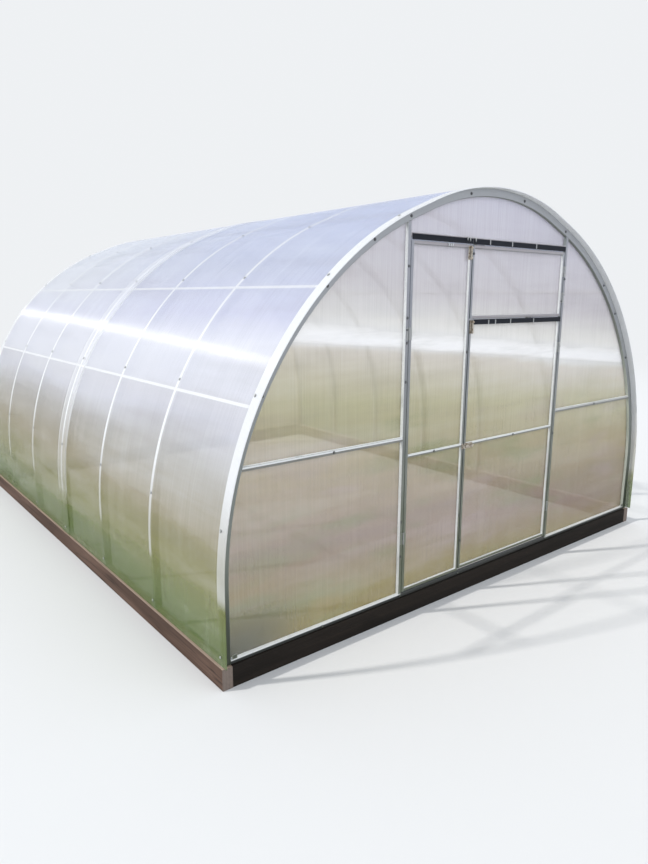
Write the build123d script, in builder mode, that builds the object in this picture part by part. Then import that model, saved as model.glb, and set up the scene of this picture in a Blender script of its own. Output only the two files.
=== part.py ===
from build123d import *
import os
from math import cos, radians, sin

# Arched greenhouse: bent steel tubes stand on a timber sill and carry two
# bent polycarbonate sheets. The front gable has a door with an upper vent
# over it, and a narrow leaf beside it. X runs to the right along the front
# gable, Y to the back and Z up. The origin is on the ground, in the middle.
# All sizes are millimetres.

# Arches and bays
arch_radius = 1700.0  # outer face of an arch tube, at its flanks
leg_height = 340.0  # straight leg of an arch, from the sill to the bend
crown_angle = 22.0  # each side of the top, where the tighter bend of the crown ends
crown_lift = 25.0  # top of an arch, over a plain half circle
arch_depth = 40.0  # arch tube, along its radius
arch_width = 20.0  # arch tube, along the house
bay = 667.0
bay_count = 6

# Steel tubes
tube_wall = 1.2
frame_tube = 20.0  # square tube of the gable frames and the purlins
leaf_tube = 15.0  # square tube of the door, the narrow leaf and the vent
lower_purlin_angle = 26.0  # degrees above the arch centre
upper_purlin_angle = 46.0

# Cladding
sheet_thickness = 4.0
sheet_lap = 138.0  # of one bent sheet over the other, along the house
sheet_overhang = 36.0  # past the outer face of an end arch
sheet_lift = 6.0  # between the sill and the edge of a bent sheet
joggle_length = 30.0  # where the upper sheet comes down behind the lap
edge_cover = 19.0  # gable sheets, over the inner edge of the end arch
sheet_joint = 2.0  # between two gable sheets on one tube
panel_inset = 1.0  # sheet of a leaf, inside the edge of its frame

# Timber sill
sill_height = 100.0
sill_width = 50.0
sill_side_step = 8.0  # side sill, outside the bent sheet
sill_end_step = 15.0  # end sill, outside the gable frame
sill_edge = 3.0  # rounded arrises

# Gable frame, to the middle of a rail or post
post_spacing = 1314.0
side_rail_height = 938.0  # above the ground
head_rail_drop = 218.0  # under the top of the inner arch curve

# Door, narrow leaf and vent
meeting_line = -200.0  # between the narrow leaf and the door
leaf_gap = 6.0  # beside a leaf, and between the two leaves
leaf_foot_gap = 6.0  # narrow leaf, above the base rail
door_foot_gap = 14.0  # door, above the base rail
leaf_rail_height = 846.0  # above the ground
vent_height = 366.0
seal_gap = 5.0  # between a seal and the moving piece next to it
door_top_gap = 9.0  # between the door and the vent

# Rubber seals
seal_height = 26.0
seal_thickness = 3.0
seal_step = 6.0  # head rail left bare above its seal
door_seal_rise = 4.0  # door seal, above the top edge of the door

# Hinges
hinge_height = 60.0
hinge_plate = 18.0  # from the pin to the edge of a plate
hinge_sheet = 2.0
knuckle_radius = 5.0
knuckle_gap = 0.5  # between two knuckles on one pin
plate_relief = 1.5  # between a plate and the knuckle that it doesn't carry
leaf_hinge_insets = (430.0, 294.0)  # from the top and from the foot of a leaf
door_hinge_insets = (175.0, 196.0)
vent_hinge_insets = (110.0, 106.0)

# Barrel bolts
bolt_length = 68.0
bolt_breadth = 30.0
bolt_plate = 2.0
bolt_rod_radius = 4.0
bolt_guide_length = 9.0
bolt_guide_breadth = 15.0
bolt_guide_height = 11.0
bolt_knob_radius = 3.0
bolt_knob_height = 13.0
cross_bolt_drop = 8.0  # lower bolt, under the middle of the leaf rails
keeper_length = 14.0

# Clearances
seat = 0.3  # under a curved face
purlin_seat = 0.5  # purlins, under the outer face of the arches

# Values worked out from the sizes above
arch_inner = arch_radius - arch_depth
arch_middle = arch_radius - arch_depth / 2
bend_height = sill_height + leg_height
crown_radius = arch_radius - crown_lift / (1 / cos(radians(crown_angle)) - 1)
crown_centre = bend_height + arch_radius + crown_lift - crown_radius
house_half = bay * bay_count / 2
frame_face = house_half + arch_width / 2
arch_places = [bay * i - house_half for i in range(bay_count + 1)]
sheet_inner = arch_radius + seat
sheet_end = frame_face + sheet_overhang
sill_outer = sheet_inner + sheet_thickness + sill_side_step
sill_end = frame_face + sill_end_step
gable_sheet_radius = arch_inner + edge_cover
base_top = sill_height + frame_tube
post_x = post_spacing / 2
opening_half = post_x - frame_tube / 2
head_rail_height = bend_height + arch_inner + crown_lift - head_rail_drop
opening_top = head_rail_height - frame_tube / 2
head_seal_top = opening_top + frame_tube - seal_step
head_seal_foot = head_seal_top - seal_height
leaf_top = head_seal_foot - seal_gap
leaf_left = -opening_half + leaf_gap
leaf_right = meeting_line - leaf_gap / 2
leaf_foot = base_top + leaf_foot_gap
door_left = meeting_line + leaf_gap / 2
door_right = opening_half - leaf_gap
door_foot = base_top + door_foot_gap
vent_foot = leaf_top - vent_height
door_top = vent_foot - door_top_gap
pin_x = opening_half - leaf_gap / 2
pin_y = -frame_face - knuckle_radius

# Outer faces of the two gable frames. Local X is across the gable, local Y up.
front_face = Plane(origin=(0, -frame_face, 0), x_dir=(1, 0, 0), z_dir=(0, -1, 0))
rear_face = Plane(origin=(0, frame_face, 0), x_dir=(-1, 0, 0), z_dir=(0, 1, 0))


def save(piece, name):
    """Label a finished sub-part and write its STEP file."""
    piece.part.label = name
    export_step(piece.part, f"parts/{name}.step")


def tube_section(width, depth):
    """Rectangular tube, inside an open sketch."""
    Rectangle(width, depth)
    Rectangle(width - 2 * tube_wall, depth - 2 * tube_wall, mode=Mode.SUBTRACT)


def arch_curve(radius, foot):
    """Legs, flanks, straight shoulders and crown of an arch, inside an open line."""
    crown = crown_radius + radius - arch_radius
    across = sin(radians(crown_angle))
    up = cos(radians(crown_angle))
    flank_end = (radius * across, bend_height + radius * up)
    crown_end = (crown * across, crown_centre + crown * up)
    flank_turn = crown_angle - 90
    Line((-radius, foot), (-radius, bend_height))
    CenterArc((0, bend_height), radius, 180, flank_turn)
    Line((-flank_end[0], flank_end[1]), (-crown_end[0], crown_end[1]))
    CenterArc((0, crown_centre), crown, 90 + crown_angle, -2 * crown_angle)
    Line(crown_end, flank_end)
    CenterArc((0, bend_height), radius, 90 - crown_angle, flank_turn)
    Line((radius, bend_height), (radius, foot))


def arch_line(radius, place, foot):
    """Curve of an arch at a place along Y, from its left foot to its right foot."""
    with BuildLine(Plane.XZ.offset(-place)) as line:
        arch_curve(radius, foot)
    return line.wire()


def arch_area(radius, foot):
    """Area between an arch curve and the level of its feet, inside an open sketch."""
    with BuildLine(Plane.XY) as outline:
        arch_curve(radius, foot)
        Line((radius, foot), (-radius, foot))
    make_face(outline.edges())


def arch(name, place):
    """One bent tube, from the left sill over the house to the right sill."""
    spine = arch_line(arch_middle, place, sill_height)
    with BuildPart() as bent_tube:
        with BuildSketch(Plane(origin=spine @ 0, x_dir=(1, 0, 0), z_dir=(0, 0, 1))):
            tube_section(arch_depth, arch_width)
        sweep(path=spine)
    save(bent_tube, name)


def purlins(name, side, angle, lift=0):
    """Row of square tubes between the arches, flush with their outer face."""
    radial = (side * cos(radians(angle)), sin(radians(angle)))
    middle = arch_radius - purlin_seat - frame_tube / 2
    starts = [
        Plane(
            origin=(
                radial[0] * middle,
                place + arch_width / 2,
                bend_height + radial[1] * middle + lift,
            ),
            x_dir=(radial[0], 0, radial[1]),
            z_dir=(0, 1, 0),
        )
        for place in arch_places[:-1]
    ]
    with BuildPart() as row:
        with BuildSketch(*starts):
            tube_section(frame_tube, frame_tube)
        extrude(amount=bay - arch_width)
    save(row, name)


def roof_sheet(name, profile):
    """Bent sheet: a profile of (along Y, outwards) points swept over the arches."""
    spine = arch_line(sheet_inner, 0, sill_height + sheet_lift)
    foot = Plane(origin=(-sheet_inner, 0, sill_height + sheet_lift), x_dir=(0, 1, 0), z_dir=(0, 0, 1))
    with BuildPart() as sheet:
        with BuildSketch(foot):
            with BuildLine():
                Polyline(*profile, close=True)
            make_face()
        sweep(path=spine)
    save(sheet, name)


def roof():
    """Front sheet flat on the arches, rear sheet lapped over it at the middle arch."""
    lap_end = sheet_lap / 2
    front = [
        (-sheet_end, 0),
        (lap_end, 0),
        (lap_end, sheet_thickness),
        (-sheet_end, sheet_thickness),
    ]
    roof_sheet("front_roof_sheet", front)
    raised = sheet_thickness + seat
    joggle = lap_end + leaf_gap
    rear = [
        (-lap_end, raised),
        (joggle, raised),
        (joggle + joggle_length, 0),
        (sheet_end, 0),
        (sheet_end, sheet_thickness),
        (joggle + joggle_length, sheet_thickness),
        (joggle, raised + sheet_thickness),
        (-lap_end, raised + sheet_thickness),
    ]
    roof_sheet("rear_roof_sheet", rear)


def side_sill(name, side):
    """Sill beam under the legs of the arches, whose ends show at both gables."""
    middle = side * (sill_outer - sill_width / 2)
    with BuildPart() as beam:
        with Locations((middle, 0, sill_height / 2)):
            Box(sill_width, 2 * sill_end, sill_height)
        fillet(beam.edges().filter_by(Axis.Y), sill_edge)
    save(beam, name)


def end_sill(name, end):
    """Sill beam under a gable, between the two side sills."""
    middle = end * (sill_end - sill_width / 2)
    with BuildPart() as beam:
        with Locations((0, middle, sill_height / 2)):
            Box(2 * (sill_outer - sill_width), sill_width, sill_height)
        fillet(beam.edges().filter_by(Axis.X), sill_edge)
    save(beam, name)


def base_rail(name, end):
    """Bottom tube of a gable, on the sill between the feet of the end arch."""
    reach = arch_inner - seat
    middle = (end * (frame_face - frame_tube / 2), sill_height + frame_tube / 2)
    with BuildPart() as rail:
        with BuildSketch(Plane.YZ.offset(-reach)):
            with Locations(middle):
                tube_section(frame_tube, frame_tube)
        extrude(amount=2 * reach)
    save(rail, name)


def posts(name, end, face):
    """Two posts, from the base rail to the curve of the end arch."""
    middle = end * (frame_face - frame_tube / 2)
    with BuildPart() as pair:
        with BuildSketch(Plane.XY.offset(base_top)):
            with Locations((-post_x, middle), (post_x, middle)):
                tube_section(frame_tube, frame_tube)
        extrude(amount=bend_height + arch_inner + crown_lift - base_top)
        with BuildSketch(face):
            arch_area(arch_inner - seat, 0)
        extrude(amount=-frame_tube, mode=Mode.INTERSECT)
    save(pair, name)


def gable_rails(name, end, face, middle_heights):
    """Side rails from the posts to the arch, and rails between the posts."""
    inner = post_x + frame_tube / 2
    middle = end * (frame_face - frame_tube / 2)
    with BuildPart() as rails:
        for start, way in ((inner, 1), (-inner, -1)):
            with BuildSketch(Plane.YZ.offset(start)):
                with Locations((middle, side_rail_height)):
                    tube_section(frame_tube, frame_tube)
            extrude(amount=way * (arch_inner - inner))
        with BuildSketch(Plane.YZ.offset(-opening_half)):
            with Locations(*[(middle, height) for height in middle_heights]):
                tube_section(frame_tube, frame_tube)
        extrude(amount=2 * opening_half)
        with BuildSketch(face):
            arch_area(arch_inner - seat, 0)
        extrude(amount=-frame_tube, mode=Mode.INTERSECT)
    save(rails, name)


def side_panels(name, face):
    """Gable sheets outside the two posts."""
    with BuildPart() as panels:
        with BuildSketch(face.offset(-frame_tube)):
            arch_area(gable_sheet_radius, sill_height + sheet_lift)
            with Locations((0, bend_height)):
                Rectangle(2 * post_x + sheet_joint, 4 * arch_radius, mode=Mode.SUBTRACT)
        extrude(amount=-sheet_thickness)
    save(panels, name)


def top_panel(name, face):
    """Gable sheet over the head rail, between the posts."""
    foot = head_rail_height + sheet_joint / 2
    with BuildPart() as panel:
        with BuildSketch(face.offset(-frame_tube)):
            arch_area(gable_sheet_radius, sill_height + sheet_lift)
            with Locations((0, foot)):
                Rectangle(
                    2 * post_x - sheet_joint,
                    arch_radius,
                    align=(Align.CENTER, Align.MIN),
                    mode=Mode.INTERSECT,
                )
        extrude(amount=-sheet_thickness)
    save(panel, name)


def middle_panel(name, face):
    """Fixed gable sheet between the posts, under the head rail."""
    foot = sill_height + sheet_lift
    height = head_rail_height - sheet_joint / 2 - foot
    with BuildPart() as panel:
        with BuildSketch(face.offset(-frame_tube)):
            with Locations((0, foot)):
                Rectangle(2 * post_x - sheet_joint, height, align=(Align.CENTER, Align.MIN))
        extrude(amount=-sheet_thickness)
    save(panel, name)


def leaf_frame(name, left, right, foot, top, rail_heights):
    """Two stiles, the rails between them and the sheet behind them."""
    middle = leaf_tube / 2 - frame_face
    with BuildPart() as stiles:
        with BuildSketch(Plane.XY.offset(foot)):
            with Locations((left + leaf_tube / 2, middle), (right - leaf_tube / 2, middle)):
                tube_section(leaf_tube, leaf_tube)
        extrude(amount=top - foot)
    save(stiles, f"{name}_stiles")

    with BuildPart() as rails:
        with BuildSketch(Plane.YZ.offset(left + leaf_tube)):
            with Locations(*[(middle, height) for height in rail_heights]):
                tube_section(leaf_tube, leaf_tube)
        extrude(amount=right - left - 2 * leaf_tube)
    save(rails, f"{name}_rails")

    with BuildPart() as panel:
        with BuildSketch(front_face.offset(-leaf_tube)):
            with Locations(((left + right) / 2, (foot + top) / 2)):
                Rectangle(right - left - 2 * panel_inset, top - foot - 2 * panel_inset)
        extrude(amount=-sheet_thickness)
    save(panel, f"{name}_panel")


def seals(name, strips):
    """Rubber strips flat on the front of the gable: (left, right, foot) of each."""
    with BuildPart() as rubber:
        with BuildSketch(front_face):
            for left, right, foot in strips:
                with Locations((left, foot)):
                    Rectangle(right - left, seal_height, align=(Align.MIN, Align.MIN))
        extrude(amount=seal_thickness)
    save(rubber, name)


def hinge_halves(name, sides, knuckle_spans):
    """Plates and knuckles on one side of each pin: (x, height, side) of each."""
    relief = knuckle_radius + plate_relief
    with BuildPart() as halves:
        for x, height, side in sides:
            foot = height - hinge_height / 2
            plate_middle = x + side * (relief + hinge_plate) / 2
            with Locations((plate_middle, -frame_face - hinge_sheet / 2, height)):
                Box(hinge_plate - relief, hinge_sheet, hinge_height)
            for low, high in knuckle_spans:
                span_middle = foot + (low + high) / 2
                with Locations((x + side * relief / 2, -frame_face - hinge_sheet / 2, span_middle)):
                    Box(relief, hinge_sheet, high - low)
                with Locations((x, pin_y, span_middle)):
                    Cylinder(knuckle_radius, high - low)
    save(halves, name)


def pins(x, foot, top, insets):
    """Upper and lower hinge of a leaf: (x, height) of each."""
    return [(x, top - insets[0]), (x, foot + insets[1])]


def hinges():
    """Butt hinges with three knuckles: two on the post, one on the leaf."""
    third = hinge_height / 3
    outer_spans = ((0, third), (2 * third, hinge_height))
    middle_span = ((third + knuckle_gap, 2 * third - knuckle_gap),)
    leaf_pins = pins(-pin_x, leaf_foot, leaf_top, leaf_hinge_insets)
    door_pins = pins(pin_x, door_foot, door_top, door_hinge_insets)
    vent_pins = pins(pin_x, vent_foot, leaf_top, vent_hinge_insets)
    on_left_post = [(x, height, -1) for x, height in leaf_pins]
    on_right_post = [(x, height, 1) for x, height in door_pins + vent_pins]
    hinge_halves("post_hinges", on_left_post + on_right_post, outer_spans)
    hinge_halves("side_leaf_hinges", [(x, height, 1) for x, height in leaf_pins], middle_span)
    hinge_halves("door_hinges", [(x, height, -1) for x, height in door_pins], middle_span)
    hinge_halves("vent_hinges", [(x, height, -1) for x, height in vent_pins], middle_span)


def bolt_place(x, height, along):
    """Plane on the front of the gable, its local X along the rod of a bolt."""
    return Plane(origin=(x, -frame_face, height), x_dir=along, z_dir=(0, -1, 0))


def barrel_bolts(name, places):
    """Plate, two guides, a drawn rod and its knob, at each place."""
    rod_height = bolt_plate + bolt_guide_height / 2
    guide_x = bolt_length / 2 - bolt_guide_length
    with BuildPart(*places) as bolts:
        Box(bolt_length, bolt_breadth, bolt_plate, align=(Align.CENTER, Align.CENTER, Align.MIN))
        with Locations((-guide_x, 0, bolt_plate), (guide_x, 0, bolt_plate)):
            Box(
                bolt_guide_length,
                bolt_guide_breadth,
                bolt_guide_height,
                align=(Align.CENTER, Align.CENTER, Align.MIN),
            )
        with Locations((0, 0, rod_height)):
            Cylinder(bolt_rod_radius, bolt_length, rotation=(0, 90, 0))
            Cylinder(bolt_knob_radius, bolt_knob_height - rod_height, align=(Align.CENTER, Align.CENTER, Align.MIN))
    save(bolts, name)


def bolt_keeper(name, place):
    """Plate and loop that take the rod of the lower bolt."""
    with BuildPart(place) as keeper:
        Box(keeper_length, bolt_breadth, bolt_plate, align=(Align.CENTER, Align.CENTER, Align.MIN))
        with Locations((0, 0, bolt_plate)):
            Box(
                bolt_guide_length,
                bolt_guide_breadth,
                bolt_guide_height,
                align=(Align.CENTER, Align.CENTER, Align.MIN),
            )
        with Locations((0, 0, bolt_plate + bolt_guide_height / 2)):
            Cylinder(bolt_rod_radius + seat, keeper_length, rotation=(0, 90, 0), mode=Mode.SUBTRACT)
    save(keeper, name)


def bolts():
    """Upper bolts stand on the stiles, the lower one lies across the door rail."""
    up = (0, 0, 1)
    left = (-1, 0, 0)
    half_length = bolt_length / 2
    half_breadth = bolt_breadth / 2
    leaf_place = bolt_place(leaf_right - half_breadth, leaf_top - seal_gap - half_length, up)
    cross_height = leaf_rail_height - cross_bolt_drop
    door_place = bolt_place(door_left + half_breadth, door_top - half_length, up)
    cross_place = bolt_place(door_left + half_length, cross_height, left)
    barrel_bolts("side_leaf_bolt", [leaf_place])
    barrel_bolts("door_bolts", [door_place, cross_place])
    bolt_keeper("side_leaf_keeper", bolt_place(leaf_right - keeper_length / 2, cross_height, left))


def front_leaves():
    """Narrow leaf on the left post, door and fixed vent on the right post."""
    half = leaf_tube / 2
    leaf_frame(
        "side_leaf",
        leaf_left,
        leaf_right,
        leaf_foot,
        leaf_top,
        (leaf_foot + half, leaf_rail_height, leaf_top - half),
    )
    leaf_frame(
        "door",
        door_left,
        door_right,
        door_foot,
        door_top,
        (door_foot + half, leaf_rail_height, door_top - half),
    )
    leaf_frame("vent", door_left, door_right, vent_foot, leaf_top, (vent_foot + half, leaf_top - half))
    head_strips = [(leaf_left, leaf_right, head_seal_foot), (door_left, door_right, head_seal_foot)]
    seals("head_seals", head_strips)
    door_seal_foot = door_top + door_seal_rise - seal_height
    seals("door_seal", [(door_left + bolt_breadth, door_right, door_seal_foot)])


os.makedirs("parts", exist_ok=True)

side_sill("sill_left", -1)
side_sill("sill_right", 1)
end_sill("sill_front", -1)
end_sill("sill_rear", 1)

arch("front_arch", arch_places[0])
for number, place in enumerate(arch_places[1:-1], start=1):
    arch(f"arch_{number}", place)
arch("rear_arch", arch_places[-1])

for side_name, side in (("left", -1), ("right", 1)):
    purlins(f"lower_purlins_{side_name}", side, lower_purlin_angle)
    purlins(f"upper_purlins_{side_name}", side, upper_purlin_angle)
purlins("ridge_purlins", 1, 90.0, crown_lift)

gables = (("front", -1, front_face, (head_rail_height,)),
          ("rear", 1, rear_face, (head_rail_height, side_rail_height)))
for end_name, end, face, middle_heights in gables:
    base_rail(f"{end_name}_base_rail", end)
    posts(f"{end_name}_posts", end, face)
    gable_rails(f"{end_name}_rails", end, face, middle_heights)
    side_panels(f"{end_name}_side_panels", face)
    top_panel(f"{end_name}_top_panel", face)
middle_panel("rear_middle_panel", rear_face)

front_leaves()
hinges()
bolts()
roof()
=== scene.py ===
"""Looks of an arched polycarbonate greenhouse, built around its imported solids.

Lengths are metres. X runs to the right along the front gable, Y to the back
and Z up, with the origin on the ground in the middle of the house.
"""

from __future__ import annotations

import logging
import math
from dataclasses import dataclass
from enum import Enum
from typing import Any, Iterable, Sequence, Union

import bmesh
import bpy
from mathutils import Matrix, Vector

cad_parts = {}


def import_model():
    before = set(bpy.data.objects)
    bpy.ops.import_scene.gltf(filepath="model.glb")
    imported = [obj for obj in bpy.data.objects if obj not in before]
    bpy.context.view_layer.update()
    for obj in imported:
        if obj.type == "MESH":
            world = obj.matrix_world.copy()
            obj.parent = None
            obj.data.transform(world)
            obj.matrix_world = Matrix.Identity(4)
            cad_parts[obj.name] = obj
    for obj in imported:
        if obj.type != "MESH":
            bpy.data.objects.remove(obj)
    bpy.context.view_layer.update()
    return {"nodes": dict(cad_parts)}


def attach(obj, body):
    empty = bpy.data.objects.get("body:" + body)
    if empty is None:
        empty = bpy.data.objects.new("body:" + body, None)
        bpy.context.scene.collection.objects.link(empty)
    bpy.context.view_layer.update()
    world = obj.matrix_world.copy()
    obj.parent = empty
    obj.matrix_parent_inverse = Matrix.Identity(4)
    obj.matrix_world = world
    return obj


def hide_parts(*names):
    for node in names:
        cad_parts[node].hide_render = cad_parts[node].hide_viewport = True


LOG = logging.getLogger("greenhouse")
SHARP = math.radians(35.0)
HOUSE = "house"
DOOR = "door"
SIDE_LEAF = "side_leaf"

Material = bpy.types.Material
Object = bpy.types.Object
Vert = bmesh.types.BMVert
Edge = bmesh.types.BMEdge
Face = bmesh.types.BMFace
Nodes = dict[str, Object]
Colour = tuple[float, float, float]
Triple = tuple[float, float, float]
Pair = tuple[float, float]

FORWARDS: Triple = (0.0, -1.0, 0.0)
# Washer, collar and head of a screw: material layer, start and end as shares of
# the height, radius at both as shares of the washer's, and number of sides.
SCREW = (
    (1, 0.0, 0.28, 1.0, 0.94, 14),
    (0, 0.28, 0.45, 0.86, 0.80, 14),
    (0, 0.45, 1.0, 0.58, 0.52, 6),
)


class Axis(Enum):
    """A direction of the house, by its index in a vector."""

    X = 0
    Y = 1
    Z = 2

    def scale(self, own: float, others: float) -> Triple:
        """Give a texture scale that has its own value along this axis."""
        return tuple(own if axis is self else others for axis in Axis)


class Slot(Enum):
    """The record's material slots that the pieces built here use."""

    STEEL = "steel_tube"
    CLADDING = "cladding"
    FITTINGS = "fittings"


# Shader expressions


class Term:
    """A value in a shader expression, held by the output socket that gives it."""

    def __init__(self, recipe: Recipe, socket: bpy.types.NodeSocket) -> None:
        """Keep the recipe that owns the socket."""
        self.recipe = recipe
        self.socket = socket

    def apply(self, operation: str, *others: Number, clamp: bool = False) -> Term:
        """Run a Math node on this value.

        Args:
            operation: The Math node's operation.
            others: Its other inputs, in order.
            clamp: Whether the result is held between 0 and 1.

        Returns:
            The node's result.
        """
        settings = {"operation": operation, "use_clamp": clamp}
        return self.recipe.node("ShaderNodeMath", settings, dict(enumerate((self, *others))))

    def swapped(self, operation: str, first: Number) -> Term:
        """Run a Math node with this value as its second input."""
        return self.recipe.node("ShaderNodeMath", {"operation": operation}, {0: first, 1: self})

    def __add__(self, other: Number) -> Term:
        """Sum."""
        return self.apply("ADD", other)

    def __radd__(self, other: Number) -> Term:
        """Sum, with the number first."""
        return self.swapped("ADD", other)

    def __sub__(self, other: Number) -> Term:
        """Difference."""
        return self.apply("SUBTRACT", other)

    def __rsub__(self, other: Number) -> Term:
        """Difference, with the number first."""
        return self.swapped("SUBTRACT", other)

    def __mul__(self, other: Number) -> Term:
        """Product."""
        return self.apply("MULTIPLY", other)

    def __truediv__(self, other: Number) -> Term:
        """Quotient."""
        return self.apply("DIVIDE", other)

    def __pow__(self, other: Number) -> Term:
        """Power."""
        return self.apply("POWER", other)

    def __abs__(self) -> Term:
        """Size without sign."""
        return self.apply("ABSOLUTE")

    def rise(self, start: float, end: float) -> Term:
        """Go smoothly from 0 at start to 1 at end."""
        settings = {"interpolation_type": "SMOOTHSTEP"}
        return self.recipe.node("ShaderNodeMapRange", settings, {0: self, 1: start, 2: end})

    def near(self, centre: float, half: float, soft: float) -> Term:
        """Be 1 within half of the centre, and fall to 0 over soft."""
        return 1.0 - abs(self - centre).rise(half, half + soft)

    def most(self, other: Number) -> Term:
        """Greater of two values."""
        return self.apply("MAXIMUM", other)


Number = Union[Term, float]
Link = Union[Term, float, Sequence[float]]


class Recipe:
    """A node tree of a material or a world, built by expressions."""

    def __init__(self, name: str, kind: str = "Material") -> None:
        """Start an empty material or world with its output node."""
        self.owner = (bpy.data.materials if kind == "Material" else bpy.data.worlds).new(name)
        self.owner.use_nodes = True
        self.tree = self.owner.node_tree
        self.tree.nodes.clear()
        self.output = self.tree.nodes.new("ShaderNodeOutput" + kind)

    def node(
        self,
        kind: str,
        settings: dict[str, Any] | None = None,
        sockets: dict[int | str, Link] | None = None,
        out: int | str = 0,
    ) -> Term:
        """Add any node.

        Args:
            kind: The node's type.
            settings: Its own properties; "stops" fills a colour ramp.
            sockets: Values or terms of its inputs, by index or name.
            out: The output to return.

        Returns:
            The chosen output.
        """
        made = self.tree.nodes.new(kind)
        for key, value in (settings or {}).items():
            if key == "stops":
                ramp = made.color_ramp
                while len(ramp.elements) < len(value):
                    ramp.elements.new(1.0)
                for element, (place, colour) in zip(ramp.elements, value):
                    element.position = place
                    element.color = (*colour, 1.0)
            else:
                setattr(made, key, value)
        for key, value in (sockets or {}).items():
            if isinstance(value, Term):
                self.tree.links.new(value.socket, made.inputs[key])
            else:
                made.inputs[key].default_value = value
        return Term(self, made.outputs[out])

    def place(self, scale: Triple = (1.0, 1.0, 1.0)) -> Term:
        """Give the object coordinates, scaled."""
        coordinates = self.node("ShaderNodeTexCoord", out="Object")
        return self.node("ShaderNodeMapping", {}, {0: coordinates, 3: scale})

    def axes(self, output: str = "Object") -> tuple[Term, Term, Term]:
        """Give the three components of the object coordinates, or of the normal."""
        coordinates = self.node("ShaderNodeTexCoord", out=output)
        split = self.node("ShaderNodeSeparateXYZ", {}, {0: coordinates}).socket.node
        return tuple(Term(self, split.outputs[axis.value]) for axis in Axis)

    def noise(self, scale: Triple, detail: float = 3.0) -> Term:
        """Give noise from 0 to 1 with its own scale along each axis."""
        sockets = {"Vector": self.place(scale), "Scale": 1.0, "Detail": detail, "Roughness": 0.55}
        return self.node("ShaderNodeTexNoise", {}, sockets)

    def cells(self, scale: float) -> Term:
        """Give each cell of a Voronoi pattern its own value."""
        sockets = {"Vector": self.place(), "Scale": scale}
        colour = self.node("ShaderNodeTexVoronoi", {}, sockets, out="Color")
        return self.node("ShaderNodeSeparateColor", {}, {0: colour})

    def mix(self, share: Number, first: Link, second: Link) -> Term:
        """Blend two colours."""
        colours = [value if isinstance(value, Term) else (*value, 1.0) for value in (first, second)]
        sockets = {0: share, 6: colours[0], 7: colours[1]}
        return self.node("ShaderNodeMix", {"data_type": "RGBA"}, sockets, out=2)

    def ramp(self, value: Term, stops: Sequence[tuple[float, Colour]]) -> Term:
        """Colour a value by stops."""
        return self.node("ShaderNodeValToRGB", {"stops": stops}, {0: value})

    def bump(self, height: Term, distance: float, strength: float = 1.0) -> Term:
        """Turn a height into a normal."""
        sockets = {"Height": height, "Distance": distance, "Strength": strength, "Filter Width": 0.01}
        return self.node("ShaderNodeBump", {}, sockets)

    def close(self, shader: Term) -> Any:
        """Send a shader to the output, and return the material or world."""
        self.tree.links.new(shader.socket, self.output.inputs["Surface"])
        return self.owner

    def surface(self, sockets: dict[str, Link]) -> Material:
        """Finish with a Principled shader.

        Args:
            sockets: Values or terms of the shader's inputs, by name.

        Returns:
            The finished material.
        """
        return self.close(self.node("ShaderNodeBsdfPrincipled", {}, sockets))


# Finishes


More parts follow.
